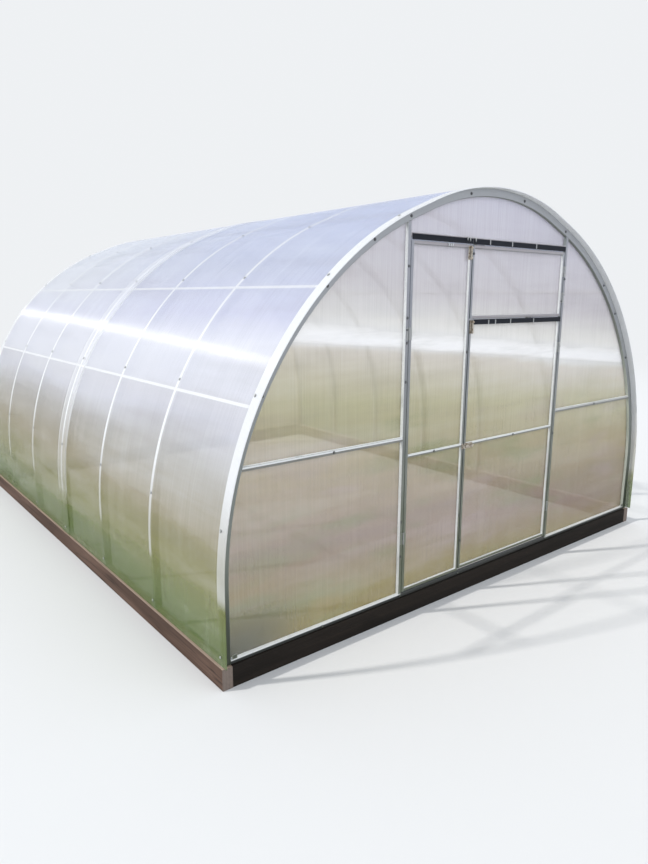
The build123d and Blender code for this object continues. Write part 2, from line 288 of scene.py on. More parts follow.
@dataclass(frozen=True)
class ZincSteel:
    """Galvanised steel tube with a spangle, with painted shade on its faces across the house.

    The painted shade is darker and greener near the ground. Ledges are rails
    with a painted highlight on their front above its middle: the height of the
    middle, and how far from the middle of the house the highlight starts. The
    painted highlight is weaker to the right. Gap shades are painted shade on the
    sides in each narrow gap beside the leaves, lighter in the left one: the place
    across the house, and the tones of the sides at the foot and at the top. A
    doorway is how far from the middle of the house the base rail is painted dark
    as shade up to its top; its lower part is painted dark as shade all along.
    Dark feet are darker and greener below 0.6 m on faces across the house.
    """

    name: str
    bright: Colour = (0.77, 0.79, 0.79)
    dull: Colour = (0.60, 0.62, 0.62)
    face_shade: Colour = (0.250, 0.255, 0.290)
    low_face_shade: Colour = (0.082, 0.094, 0.052)
    rail_shade: Colour = (0.024, 0.027, 0.028)
    low_dark_tone: Colour = (0.014, 0.020, 0.008)
    shadow: Colour = (0.12, 0.13, 0.12)
    fleck: Colour = (0.20, 0.19, 0.17)
    ledges: tuple[Pair, ...] = ()
    ledge_lift: float = 0.0042
    ledge_half: float = 0.0030
    gap_shades: tuple[tuple[float, Colour, Colour], ...] = ()
    gap_shade_half: float = 0.0036
    doorway: float = 0.0
    base_rail: float = 0.110
    dark_feet: bool = False
    roughness: float = 0.45
    metallic: float = 0.10
    spangle: float = 110.0

    def make(self) -> Material:
        """Build the material."""
        recipe = Recipe(self.name)
        x, y, z = recipe.axes()
        _, sideways, up = recipe.axes("Normal")
        clouds = recipe.noise((5.0, 5.0, 5.0), detail=5.0)
        grey = recipe.cells(self.spangle)
        speck = recipe.noise((260.0, 260.0, 260.0), detail=2.0).rise(0.66, 0.8)
        tone = recipe.mix(clouds.rise(0.3, 0.75) * 0.6 + grey * 0.4, self.dull, self.bright)
        across = abs(sideways).rise(0.55, 0.90)
        level = z.rise(0.25, 1.85)
        # Painted shade on the faces across the house, darker and greener near the ground.
        face_shade = recipe.mix(level, self.low_face_shade, self.face_shade)
        tone = recipe.mix(across * (0.95 + (clouds - 0.5) * 0.3), tone, face_shade)
        reach = abs(x)
        # Painted highlight on the upper half of the rails' fronts, weaker to the right.
        lit = across * (1.0 - x.rise(0.0, 1.2) * 0.5) * 0.85
        for height, inner in self.ledges:
            ledge = z.near(height + self.ledge_lift, self.ledge_half, 0.0016)
            tone = recipe.mix(ledge * reach.rise(inner - 0.02, inner) * lit, tone, self.bright)
        # Painted shade on the sides in the narrow gap beside each leaf.
        for place, foot, top in self.gap_shades:
            gap = x.near(place, self.gap_shade_half, 0.0012) * (1.0 - across) * (1.0 - y.rise(-0.2, 0.2))
            tone = recipe.mix(gap * 0.95, tone, recipe.mix(level, foot, top))
        # Painted shade on the base rail: all of it in the doorway, and its lower part all along.
        if self.doorway:
            under = 1.0 - reach.rise(self.doorway, self.doorway + 0.01)
            under = under * z.near(self.base_rail, 0.011, 0.003)
            foot = z.near(self.base_rail - 0.0055, 0.0085, 0.0025)
            tone = recipe.mix(under.most(foot) * 0.9, tone, self.rail_shade)
        # Darker and greener below 0.6 m on faces across the house.
        if self.dark_feet:
            tone = recipe.mix((1.0 - z.rise(0.15, 0.60)) * across * 0.85, tone, self.low_dark_tone)
        tone = recipe.mix((0.0 - up).rise(0.20, 0.60) * 0.8, tone, self.shadow)
        tone = recipe.mix(speck * 0.35, tone, self.fleck)
        return recipe.surface(
            {
                "Base Color": tone,
                "Metallic": self.metallic,
                "Roughness": self.roughness + clouds * 0.16 - grey * 0.08,
                "Normal": recipe.bump(grey * 0.4 + clouds, 0.00025, 0.5),
            }
        )


@dataclass(frozen=True)
class FlutedSheet:
    """Twin-wall sheet: fine ribs, streaks of dust along them, tinted by height.

    The ribs repeat along the axis named by across. The tint by height is partly
    painted: its green and brown low down stand for grass and earth seen through
    and mirrored in the sheet, and its brightest band, a little above the middle,
    is painted glow of the highlight. The veil is how much the sheet hides, high
    up and near the ground. Patches are green and brown blotches low in an
    upright sheet, painted for plants and earth seen through it. Shine is the
    level, as a share of the height, of a painted highlight across an upright
    sheet: the far wall's shine seen through it. A corner shade is the painted
    shade of the lower left corner. A bent sheet shows white where it lies on a
    tube, partly standing for the lit tube seen through it and fading out low
    down as painted shade, and it is paler toward the rear and the crown as
    painted reflection; a mark is half the width of such a line and how softly
    it ends.
    """

    name: str
    across: Axis
    tones: tuple[tuple[float, Colour], ...]
    veil: float = 0.50
    low_veil: float = 0.62
    tilt: float = 0.0
    pitch: float = 0.0057
    rib_depth: float = 0.00095
    roughness: float = 0.16
    height: float = 2.20
    gloss: float = 0.35
    patches: float = 0.42
    shine: float = 0.0
    corner_shade: Colour | None = None
    bent: bool = False
    bay: float = 0.667
    bend: float = 0.44
    purlins: Pair = (26.0, 46.0)
    end_seat: float = 1.991
    sheet_end: float = 2.047
    lap_end: float = 0.069
    arch_mark: Pair = (0.0095, 0.0050)
    purlin_mark: Pair = (0.0034, 0.0026)
    lap_mark: Pair = (0.0050, 0.0070)
    white: Colour = (0.84, 0.85, 0.86)
    rim_white: Colour = (0.79, 0.80, 0.81)
    sheen_white: Colour = (0.90, 0.92, 0.90)
    glare: Colour = (0.97, 0.96, 0.96)
    seen_green: Colour = (0.25, 0.31, 0.13)
    seen_earth: Colour = (0.52, 0.42, 0.44)
    grime: Colour = (0.19, 0.17, 0.18)
    soot: Colour = (0.16, 0.16, 0.15)

    def seats(self, x: Term, y: Term, z: Term) -> Term:
        """Mark where a bent sheet lies on an arch or a purlin."""
        step = (y / self.bay + 0.5).apply("FRACT") - 0.5
        seat = (abs(step) * self.bay).near(0.0, *self.arch_mark)
        seat = seat.most(abs(y).rise(self.end_seat - 0.002, self.end_seat + 0.001))
        angle = (z - self.bend).apply("ARCTAN2", abs(x))
        for degrees in self.purlins:
            seat = seat.most(angle.near(math.radians(degrees), *self.purlin_mark) * 0.92)
        return seat

    def laps(self, y: Term) -> Term:
        """Mark the lap of the two sheets and the cut edges."""
        place = abs(y)
        ends = place.rise(self.sheet_end - 0.003, self.sheet_end - 0.001)
        zone = (1.0 - place.rise(self.lap_end - 0.004, self.lap_end + 0.004)) * 0.42
        return ends.most(zone).most(place.near(self.lap_end, *self.lap_mark) * 0.85)

    def make(self) -> Material:
        """Build the material."""
        recipe = Recipe(self.name)
        x, y, z = recipe.axes()
        bulge = ((x, y, z)[self.across.value] / self.pitch).apply("FRACT") - 0.5
        rib = 1.0 - bulge * bulge * 8.0
        streak = recipe.noise(self.across.scale(120.0, 1.6), detail=4.0)
        wide = recipe.noise(self.across.scale(11.0, 1.6))
        haze = recipe.noise(self.across.scale(0.55, 5.0), detail=5.0)
        seen_green = recipe.noise(self.across.scale(1.17, 4.5))
        level = (z + x * self.tilt) / self.height
        # Tint by height: partly painted reflection and glow, see the tone tables.
        tone = recipe.ramp(level + (haze - 0.5) * 0.09, self.tones)
        low = (1.0 - z.rise(0.85, 1.30)) * self.patches
        # Green and brown blotches low in an upright sheet are painted for plants and earth seen through it;
        # the other shares are dust and random tone.
        for share, colour in (
            (seen_green.rise(0.50, 0.68) * low, self.seen_green),
            ((1.0 - seen_green.rise(0.32, 0.48)) * low * 0.75, self.seen_earth),
            ((haze - 0.5) * 0.70, self.white),
            ((0.5 - haze) * 0.80, self.grime),
            ((streak - 0.5) * 0.20, self.white),
            ((0.5 - streak) * 0.26, self.soot),
            ((wide - 0.5) * 0.25, self.white),
        ):
            tone = recipe.mix(share, tone, colour)
        # Painted shade in the lower left corner.
        if self.corner_shade:
            corner_mask = (1.0 - z.rise(0.16, 0.42)) * (0.0 - x).rise(1.15, 1.60)
            tone = recipe.mix(corner_mask * (0.45 + haze * 0.7), tone, self.corner_shade)
        veil = self.veil + (1.0 - z.rise(0.15, 1.20)) * (self.low_veil - self.veil)
        veil = veil + (streak - 0.5) * 0.08 + (wide - 0.5) * 0.06 + rib * 0.02
        # Painted highlight: a bright line where the far wall's shine shows through the sheet.
        if self.shine:
            line = level.rise(self.shine - 0.032, self.shine - 0.002) ** 1.6
            line = line * (1.0 - level.rise(self.shine + 0.003, self.shine + 0.060)) * haze.rise(0.20, 0.55)
            tone = recipe.mix(line * 0.9, tone, self.glare)
            veil = veil.most(line * 0.90)
        if self.bent:
            # Painted reflection: paler toward the rear and the crown.
            rear_sheen = y.rise(-1.3, 1.6) * z.rise(1.30, 1.75) * (0.30 + haze * 0.4)
            tone = recipe.mix(rear_sheen, tone, self.sheen_white)
            # White where the sheet lies on a tube, at its cut edges and at the lap; on the tubes this stands
            # partly for the lit tube seen through the sheet. It fades out low down as painted shade, and is
            # weaker high up away from the rims.
            rim = abs(y).rise(1.970, 1.985)
            fade = z.rise(0.35, 0.42) * 0.55 + z.rise(0.50, 0.95) * 0.45
            fade = fade - z.rise(1.35, 1.65) * (1.0 - rim) * 0.24
            mark = self.seats(x, y, z).most(self.laps(y)) * fade
            tone = recipe.mix(mark, tone, recipe.mix(rim, self.white, self.rim_white))
            veil = veil.most(mark * 0.92)
        waves = recipe.noise((2.0, 2.0, 2.0), detail=1.0)
        return recipe.surface(
            {
                "Base Color": tone,
                "Roughness": self.roughness + streak * 0.03,
                "Specular IOR Level": self.gloss,
                "Alpha": veil.apply("MINIMUM", 1.0, clamp=True),
                "Normal": recipe.bump(rib * 0.5 + waves * 0.7, self.rib_depth),
            }
        )


@dataclass(frozen=True)
class Timber:
    """Sawn, stained and weathered beam with rings on its ends.

    Sunned is how much its upper faces are paled by the sun. Pith is how far under the
    ground the rings have their middle.
    """

    name: str
    grain: Axis
    dark: Colour
    light: Colour
    end_dark: Colour = (0.11, 0.085, 0.070)
    end_light: Colour = (0.27, 0.22, 0.19)
    crack: Colour = (0.012, 0.010, 0.008)
    pale: Colour = (0.42, 0.32, 0.25)
    sunned: float = 0.0
    pith: float = 0.03
    rings: float = 900.0
    roughness: float = 0.85

    def make(self) -> Material:
        """Build the material."""
        recipe = Recipe(self.name)
        place, normal = recipe.axes(), recipe.axes("Normal")
        fibres = recipe.noise(self.grain.scale(2.0, 120.0), detail=4.0)
        bands = recipe.noise(self.grain.scale(1.2, 24.0))
        stains = recipe.noise((4.0, 4.0, 9.0), detail=4.0)
        checks = recipe.noise(self.grain.scale(1.2, 72.0), detail=1.0).near(0.5, 0.006, 0.02)
        tone = recipe.mix(bands.rise(0.3, 0.75) * 0.6 + fibres * 0.4, self.dark, self.light)
        tone = recipe.mix(stains.rise(0.55, 0.75) * 0.5, tone, self.dark)
        tone = recipe.mix(checks * 0.6, tone, self.crack)
        if self.sunned:
            tone = recipe.mix(normal[2].rise(0.4, 0.8) * self.sunned, tone, self.pale)
        end = abs(normal[self.grain.value]).rise(0.6, 0.8)
        side = place[0] if self.grain is Axis.Y else place[1]
        rings = ((side * side + (place[2] + self.pith) ** 2.0).apply("SQRT") * self.rings).apply("SINE")
        cut = recipe.mix(rings * 0.25 + 0.5 + (fibres - 0.5) * 0.4, self.end_dark, self.end_light)
        return recipe.surface(
            {
                "Base Color": recipe.mix(end, tone, cut),
                "Roughness": self.roughness,
                "Specular IOR Level": 0.2,
                "Normal": recipe.bump(fibres * 0.6 + bands * 0.4 - checks, 0.0012, 0.8),
            }
        )


@dataclass(frozen=True)
class SealRubber:
    """Black rubber with a little dust in its grain."""

    name: str
    dark: Colour = (0.010, 0.012, 0.018)
    dusty: Colour = (0.052, 0.055, 0.066)
    roughness: float = 0.55

    def make(self) -> Material:
        """Build the material."""
        recipe = Recipe(self.name)
        grain = recipe.noise((500.0, 500.0, 500.0), detail=2.0)
        dust = recipe.noise((18.0, 18.0, 60.0), detail=4.0).rise(0.5, 0.8)
        return recipe.surface(
            {
                "Base Color": recipe.mix(dust * 0.35, self.dark, self.dusty),
                "Roughness": self.roughness + dust * 0.2,
                "Specular IOR Level": 0.12,
                "Normal": recipe.bump(grain, 0.0002, 0.6),
            }
        )


@dataclass(frozen=True)
class PassivatedZinc:
    """Zinc fitting, tarnished brown in patches."""

    name: str
    bright: Colour = (0.50, 0.46, 0.40)
    tarnish: Colour = (0.22, 0.17, 0.12)
    roughness: float = 0.40

    def make(self) -> Material:
        """Build the material."""
        recipe = Recipe(self.name)
        clouds = recipe.noise((70.0, 70.0, 70.0), detail=4.0)
        scratches = recipe.noise((900.0, 60.0, 60.0), detail=2.0)
        return recipe.surface(
            {
                "Base Color": recipe.mix(clouds.rise(0.42, 0.68), self.bright, self.tarnish),
                "Metallic": 0.75,
                "Roughness": self.roughness + clouds * 0.2,
                "Normal": recipe.bump(scratches, 0.0001, 0.5),
            }
        )


# Meshes


def show(name: str, data: bpy.types.ID) -> Object:
    """Put an object with some data into the scene."""
    made = bpy.data.objects.new(name, data)
    bpy.context.scene.collection.objects.link(made)
    return made


class Piece:
    """One piece of the greenhouse, shaped by bmesh operators."""

    def __init__(self, name: str) -> None:
        """Start with an empty mesh."""
        self.name = name
        self.mesh = bmesh.new()
        self.layer = 0

    def _place(self, verts: Iterable[Vert]) -> set[Face]:
        """Give new faces the current material layer and return them."""
        faces = {face for vert in verts for face in vert.link_faces}
        for face in faces:
            face.material_index = self.layer
        return faces

    def soften(self, geometry: Sequence[Any], width: float, segments: int, affect: str = "EDGES") -> None:
        """Round some edges, or some corners of a flat section."""
        options = {"offset_type": "OFFSET", "profile": 0.5, "material": -1, "affect": affect}
        made = bmesh.ops.bevel(self.mesh, geom=geometry, offset=width, segments=segments, **options)
        for face in made["faces"]:
            face.smooth = True

    def box(self, low: Triple, high: Triple, edge: float = 0.0) -> list[Vert]:
        """Add a box between two corners.

        Args:
            low: Its lowest corner.
            high: Its highest corner.
            edge: Radius of its edges.

        Returns:
            The box's corners, if its edges aren't rounded.
        """
        size = Vector(high) - Vector(low)
        middle = (Vector(high) + Vector(low)) / 2
        matrix = Matrix.Translation(middle) @ Matrix.Diagonal((*size, 1.0))
        made = bmesh.ops.create_cube(self.mesh, size=1.0, matrix=matrix)["verts"]
        self._place(made)
        if edge > 0:
            self.soften(list({link for vert in made for link in vert.link_edges}), edge, 2)
            return []
        return made

    def tube(self, low: Triple, high: Triple, along: Axis, edge: float = 0.0025) -> list[Vert]:
        """Add a square tube whose long edges are rounded.

        Args:
            low: Lowest corner.
            high: Highest corner.
            along: Direction of the tube.
            edge: Outer radius of its corners.

        Returns:
            The tube's vertices.
        """
        before = set(self.mesh.verts)
        made = self.box(low, high)
        edges = []
        for link in {link for vert in made for link in vert.link_edges}:
            run = (link.verts[1].co - link.verts[0].co).normalized()
            if abs(run[along.value]) > 0.99:
                edges.append(link)
        self.soften(edges, edge, 3)
        return [vert for vert in self.mesh.verts if vert not in before]

    def trim(self, verts: list[Vert], point: Triple, outwards: Triple) -> None:
        """Cut what lies outwards of a plane off some vertices' faces, and close the cut."""
        geometry = set(verts)
        geometry |= {edge for vert in verts for edge in vert.link_edges}
        geometry |= {face for vert in verts for face in vert.link_faces}
        plane = {"plane_co": point, "plane_no": outwards, "clear_outer": True}
        cut = bmesh.ops.bisect_plane(self.mesh, geom=list(geometry), **plane)["geom_cut"]
        edges = [item for item in cut if isinstance(item, Edge)]
        bmesh.ops.holes_fill(self.mesh, edges=edges, sides=0)

    def rod(
        self, start: Triple, end: Triple, radius: float, tip: float | None = None, sides: int = 10
    ) -> None:
        """Add a round or many-sided rod between two points.

        Args:
            start: Middle of its first end.
            end: Middle of its second end.
            radius: Radius at the start.
            tip: Radius at the end, if it isn't the same.
            sides: Number of sides.
        """
        run = Vector(end) - Vector(start)
        turn = run.to_track_quat("Z", "Y").to_matrix().to_4x4()
        made = bmesh.ops.create_cone(
            self.mesh,
            cap_ends=True,
            segments=sides,
            radius1=radius,
            radius2=radius if tip is None else tip,
            depth=run.length,
            matrix=Matrix.Translation((Vector(start) + Vector(end)) / 2) @ turn,
        )["verts"]
        for face in self._place(made):
            face.smooth = len(face.verts) == 4 and sides > 8

    def screw(self, seat: Triple, outwards: Triple, washer: float, height: float) -> None:
        """Add a hexagon screw head on a rubber washer.

        Args:
            seat: Where the washer lies.
            outwards: Direction away from the surface.
            washer: Radius of the washer.
            height: Height of the whole head.
        """
        base = Vector(seat)
        up = Vector(outwards).normalized() * height
        before = self.layer
        for layer, low, high, radius, tip, sides in SCREW:
            self.layer = layer
            self.rod(base + up * low, base + up * high, washer * radius, washer * tip, sides)
        self.layer = before

    def _advance(self, tail: Face, made: Iterable[Any]) -> Face:
        """Drop the old end of a sweep and return its new end."""
        bmesh.ops.delete(self.mesh, geom=[tail], context="FACES_ONLY")
        return next(item for item in made if isinstance(item, Face))

    def bend_over(self, face: Face, foot: float, house: House, steps: int) -> None:
        """Draw a flat section up the left leg, over the arch line and down the right leg.

        Args:
            face: The section, level at the left foot.
            foot: Height of the foot.
            house: Sizes of the arch line.
            steps: Facets in half a turn.
        """
        flank = 90.0 - house.crown_angle
        slope = math.radians(house.crown_angle)
        run = (house.radius - house.crown_radius) * math.tan(slope)
        across, up = run * math.cos(slope), run * math.sin(slope)
        bmesh.ops.duplicate(self.mesh, geom=[face])
        for way, centre, degrees in (
            ((0.0, 0.0, house.bend - foot), house.bend, flank),
            ((across, 0.0, up), house.crown_centre, 2.0 * house.crown_angle),
            ((across, 0.0, -up), house.bend, flank),
            ((0.0, 0.0, foot - house.bend), 0.0, 0.0),
        ):
            made = bmesh.ops.extrude_face_region(self.mesh, geom=[face])["geom"]
            bmesh.ops.translate(self.mesh, verts=[item for item in made if isinstance(item, Vert)], vec=way)
            face = self._advance(face, made)
            if degrees:
                spun = bmesh.ops.spin(
                    self.mesh,
                    geom=[face],
                    cent=(0.0, 0.0, centre),
                    axis=(0.0, 1.0, 0.0),
                    angle=math.radians(degrees),
                    steps=round(steps * degrees / 180.0),
                    use_merge=False,
                )["geom_last"]
                face = self._advance(face, spun)
        bmesh.ops.remove_doubles(self.mesh, verts=self.mesh.verts[:], dist=1e-6)
        for item in self.mesh.faces:
            item.smooth = len(item.verts) == 4

    def finish(
        self, materials: Sequence[Material], body: str, slot: Slot, replaces: Sequence[str] = ()
    ) -> None:
        """Close the piece and put it into the scene. Lamps shine through sheets.

        Args:
            materials: Its materials, one for each layer.
            body: The CAD body that it rides on.
            slot: The record's slot of its main material.
            replaces: CAD nodes that it stands for.
        """
        bmesh.ops.recalc_face_normals(self.mesh, faces=self.mesh.faces[:])
        for edge in self.mesh.edges:
            edge.smooth = edge.calc_face_angle(0.0) < SHARP
        data = bpy.data.meshes.new(self.name)
        self.mesh.to_mesh(data)
        self.mesh.free()
        for material in materials:
            data.materials.append(material)
        made = show(self.name, data)
        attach(made, body)
        made.visible_shadow = slot is not Slot.CLADDING
        if replaces:
            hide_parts(*replaces)
        LOG.info("%s: %d faces on %s", self.name, len(data.polygons), body)


# The greenhouse


@dataclass(frozen=True)
class Finishes:
    """Materials that several sub-assemblies share."""

    arch: Material
    inner: Material
    frame: Material
    rail: Material
    screw: Material
    rubber: Material
    fitting: Material
    hinge: Material
    clip: Material
    roof: Material
    gable: Material
    rear_gable: Material
    end_timber_stain_and_shade: Material
    side_timber: Material


def mix_finishes() -> Finishes:
    """Build the shared materials."""
    # Tint of the roof sheet by height, partly painted: the green low down stands for grass seen through and
    # mirrored, and the lavender-white band around the height of the highlight is painted glow.
    roof_tint_and_reflection = (
        (0.055, (0.103, 0.161, 0.035)),
        (0.115, (0.147, 0.198, 0.051)),
        (0.200, (0.243, 0.241, 0.072)),
        (0.310, (0.334, 0.292, 0.181)),
        (0.415, (0.499, 0.490, 0.471)),
        (0.490, (0.652, 0.659, 0.722)),
        (0.535, (0.692, 0.696, 0.748)),
        (0.550, (0.728, 0.742, 0.805)),
        (0.650, (0.745, 0.760, 0.838)),
        (0.700, (0.602, 0.619, 0.759)),
        (0.810, (0.530, 0.565, 0.699)),
        (1.000, (0.541, 0.608, 0.834)),
    )
    # Tint of the gable sheets by height, partly painted: olive and brown low down for plants and earth seen
    # through, and the near-white band a little above the middle as the painted shine of the far wall seen
    # through.
    gable_tint_and_glow = (
        (0.068, (0.340, 0.276, 0.094)),
        (0.180, (0.379, 0.289, 0.236)),
        (0.360, (0.484, 0.408, 0.260)),
        (0.480, (0.604, 0.573, 0.370)),
        (0.585, (0.825, 0.764, 0.669)),
        (0.605, (0.980, 0.975, 0.946)),
        (0.650, (0.975, 0.953, 0.890)),
        (0.735, (0.758, 0.717, 0.729)),
        (1.000, (0.770, 0.745, 0.840)),
    )
    # Painted shade on the sides in the narrow gap beside each leaf: place across the house, tone at the foot
    # and at the top; the left one is painted lighter.
    middle_gap_shade = (-0.200, (0.050, 0.060, 0.045), (0.110, 0.140, 0.160))
    left_gap_shade = (-0.644, (0.170, 0.200, 0.130), (0.420, 0.440, 0.490))
    right_gap_shade = (0.644, (0.090, 0.100, 0.080), (0.200, 0.220, 0.220))
    # In the steel finishes, the tones for faces across the house are painted shade, darker and greener near
    # the ground.
    finishes = {
        "arch": ZincSteel(
            "arch_zinc", bright=(0.50, 0.53, 0.47), dull=(0.38, 0.41, 0.35),
            face_shade=(0.300, 0.310, 0.335), low_face_shade=(0.100, 0.118, 0.092), dark_feet=True,
        ),
        # Tubes inside the house: a darker copy of the steel, painted shade.
        "inner": ZincSteel("inner_zinc_shaded", bright=(0.44, 0.45, 0.44), dull=(0.30, 0.31, 0.30)),
        "frame": ZincSteel("frame_zinc", gap_shades=(left_gap_shade, middle_gap_shade, right_gap_shade)),
        "rail": ZincSteel(
            "rail_zinc", face_shade=(0.300, 0.278, 0.300), doorway=0.645,
            ledges=((0.1132, 0.66), (0.846, 0.01), (0.938, 0.01)),
        ),
        # Screw heads are painted dark, partly as the shade that falls around them.
        "screw": ZincSteel(
            "screw_zinc_shaded", bright=(0.22, 0.22, 0.23), dull=(0.10, 0.10, 0.11), face_shade=(0.07, 0.07, 0.08)
        ),
        "rubber": SealRubber("seal_black"),
        "fitting": PassivatedZinc("fitting_zinc"),
        "hinge": ZincSteel(
            "hinge_zinc", bright=(0.50, 0.51, 0.51), dull=(0.36, 0.37, 0.36),
            face_shade=(0.340, 0.345, 0.355), low_face_shade=(0.140, 0.155, 0.110),
        ),
        "clip": ZincSteel("clip_zinc", face_shade=(0.700, 0.720, 0.750), low_face_shade=(0.50, 0.50, 0.48)),
        "roof": FlutedSheet(
            "roof_sheet", Axis.Y, roof_tint_and_reflection, veil=0.68, low_veil=0.66,
            roughness=0.11, gloss=0.165, patches=0.0, bent=True,
        ),
        # The gable sheet paints the far wall's shine as a highlight line, and shade in its lower left corner.
        "gable": FlutedSheet(
            "gable_sheet", Axis.X, gable_tint_and_glow, tilt=0.090, shine=0.611, corner_shade=(0.080, 0.092, 0.072)
        ),
        # The rear gable leaves out the two near-white stops of the painted shine.
        "rear_gable": FlutedSheet("rear_gable_sheet", Axis.X, gable_tint_and_glow[:5] + gable_tint_and_glow[7:]),
        # End beams: the dark-stained timber, painted near-black as shade.
        "end_timber_stain_and_shade": Timber("end_beam_stain_and_shade", Axis.X, (0.005, 0.004, 0.003), (0.022, 0.016, 0.012)),
        "side_timber": Timber(
            "side_beam_weathered", Axis.Y, (0.052, 0.031, 0.022), (0.165, 0.102, 0.076), sunned=0.8
        ),
    }
    return Finishes(**{name: finish.make() for name, finish in finishes.items()})


@dataclass
class House:
    """Sizes that several sub-assemblies share."""

    radius: float = 1.700
    bend: float = 0.440
    crown_angle: float = 22.0
    crown_lift: float = 0.025
    sill: float = 0.100
    bay: float = 0.667
    bays: int = 6
    tube: float = 0.020
    arch_depth: float = 0.040
    post: float = 0.657
    gap: float = 0.0003

    @property
    def face(self) -> float:
        """Distance of a gable's outer face from the middle of the house."""
        return self.bay * self.bays / 2 + self.tube / 2

    @property
    def inner(self) -> float:
        """Inner radius of an arch."""
        return self.radius - self.arch_depth

    @property
    def crown_radius(self) -> float:
        """Radius of an arch's outer face at the crown."""
        return self.radius - self.crown_lift / (1.0 / math.cos(math.radians(self.crown_angle)) - 1.0)

    @property
    def crown_centre(self) -> float:
        """Height of the centre of the crown's bend."""
        return self.bend + self.radius + self.crown_lift - self.crown_radius

    def rim(self, degrees: float, radius: float, y: float) -> Triple:
        """Point on the arch line where it faces an angle above the level, counted from the right.

        Args:
            degrees: The angle.
            radius: Radius of the line at the flanks.
            y: Place along the house.

        Returns:
            The point.
        """
        angle = math.radians(degrees)
        if abs(degrees - 90.0) < self.crown_angle:
            crown = self.crown_radius + radius - self.radius
            return (crown * math.cos(angle), y, self.crown_centre + crown * math.sin(angle))
        return (radius * math.cos(angle), y, self.bend + radius * math.sin(angle))

    @staticmethod
    def outwards(degrees: float) -> Triple:
        """Direction away from the arch line at an angle."""
        angle = math.radians(degrees)
        return (math.cos(angle), 0.0, math.sin(angle))


def dress(node: Object, material: Material, shade: bool = True) -> None:
    """Give a CAD node its material, and let lamps shine through it if it gives no shade."""
    node.visible_shadow = shade
    node.data.materials.clear()
    node.data.materials.append(material)
    LOG.info("%s: CAD node in %s", node.name, material.name)


@dataclass
class Part:
    """A sub-assembly, which knows the sizes of the house and the finishes."""

    house: House
    finishes: Finishes


@dataclass
class Sills(Part):
    """Timber beams under the walls."""

    def build(self, nodes: Nodes) -> None:
        """Dress the four beams."""
        for name in ("sill_left", "sill_right"):
            dress(nodes[name], self.finishes.side_timber)
        # The end beams get the stained timber painted near-black as shade.
        for name in ("sill_front", "sill_rear"):
            dress(nodes[name], self.finishes.end_timber_stain_and_shade)


@dataclass
class Arches(Part):
    """Seven bent tubes and the purlins between them."""

    corner: float = 0.003
    steps: int = 96
    lower: float = 26.0
    upper: float = 46.0
    purlin_seat: float = 0.0005

    def arch(self, name: str, y: float) -> None:
        """Bend one tube over the house."""
        house = self.house
        piece = Piece(name + "_tube")
        middle = -(house.radius - house.arch_depth / 2)
        size = Matrix.Diagonal((house.arch_depth, house.tube, 1.0, 1.0))
        matrix = Matrix.Translation((middle, y, house.sill)) @ size
        made = bmesh.ops.create_grid(piece.mesh, x_segments=1, y_segments=1, size=0.5, matrix=matrix)["verts"]
        piece.soften(made, self.corner, 3, "VERTICES")
        piece.mesh.faces.ensure_lookup_table()
        piece.bend_over(piece.mesh.faces[0], house.sill, house, self.steps)
        finish = self.finishes.arch if abs(y) > house.face - house.tube else self.finishes.inner
        piece.finish([finish], HOUSE, Slot.STEEL, [name])

    def purlins(self, name: str, degrees: float) -> None:
        """Lay a row of tubes between the arches."""
        house = self.house
        piece = Piece(name + "_row")
        half = house.tube / 2
        turn = Matrix.Rotation(-math.radians(degrees), 4, "Y")
        centre = Vector(house.rim(degrees, house.radius - self.purlin_seat - half, 0.0))
        for number in range(house.bays):
            start = house.bay * (number - house.bays / 2) + half
            verts = piece.tube((-half, start, -half), (half, start + house.bay - house.tube, half), Axis.Y)
            bmesh.ops.transform(piece.mesh, verts=verts, matrix=Matrix.Translation(centre) @ turn)
        piece.finish([self.finishes.inner], HOUSE, Slot.STEEL, [name])

    def build(self, _: Nodes) -> None:
        """Build the arches and purlins."""
        names = ["front_arch", *(f"arch_{number}" for number in range(1, self.house.bays)), "rear_arch"]
        for number, name in enumerate(names):
            self.arch(name, self.house.bay * (number - self.house.bays / 2))
        for row, degrees in (("lower", self.lower), ("upper", self.upper)):
            self.purlins(f"{row}_purlins_right", degrees)
            self.purlins(f"{row}_purlins_left", 180.0 - degrees)
        self.purlins("ridge_purlins", 90.0)


@dataclass
class RoofSheets(Part):
    """Two bent sheets that lap at the middle arch."""

    thickness: float = 0.0039
    end: float = 2.047
    lap: float = 0.069
    foot: float = 0.106
    joggle: float = 0.075
    joggle_run: float = 0.030
    steps: int = 120

    def sheet(self, name: str, profile: Sequence[Pair]) -> None:
        """Bend one sheet from its profile of (along Y, outwards) points."""
        piece = Piece(name + "_skin")
        inner = self.house.radius + self.house.gap
        verts = [piece.mesh.verts.new((-(inner + out), y, self.foot)) for y, out in profile]
        piece.bend_over(piece.mesh.faces.new(verts), self.foot, self.house, self.steps)
        piece.finish([self.finishes.roof], HOUSE, Slot.CLADDING, [name])

    def build(self, _: Nodes) -> None:
        """Build the two sheets."""
        end, lap, thick = self.end, self.lap, self.thickness
        raised = thick + self.house.gap
        level = self.joggle + self.joggle_run
        self.sheet("front_roof_sheet", ((-end, 0.0), (lap, 0.0), (lap, thick), (-end, thick)))
        under = ((-lap, raised), (self.joggle, raised), (level, 0.0), (end, 0.0))
        over = tuple((y, out + thick) for y, out in reversed(under))
        self.sheet("rear_roof_sheet", under + over)


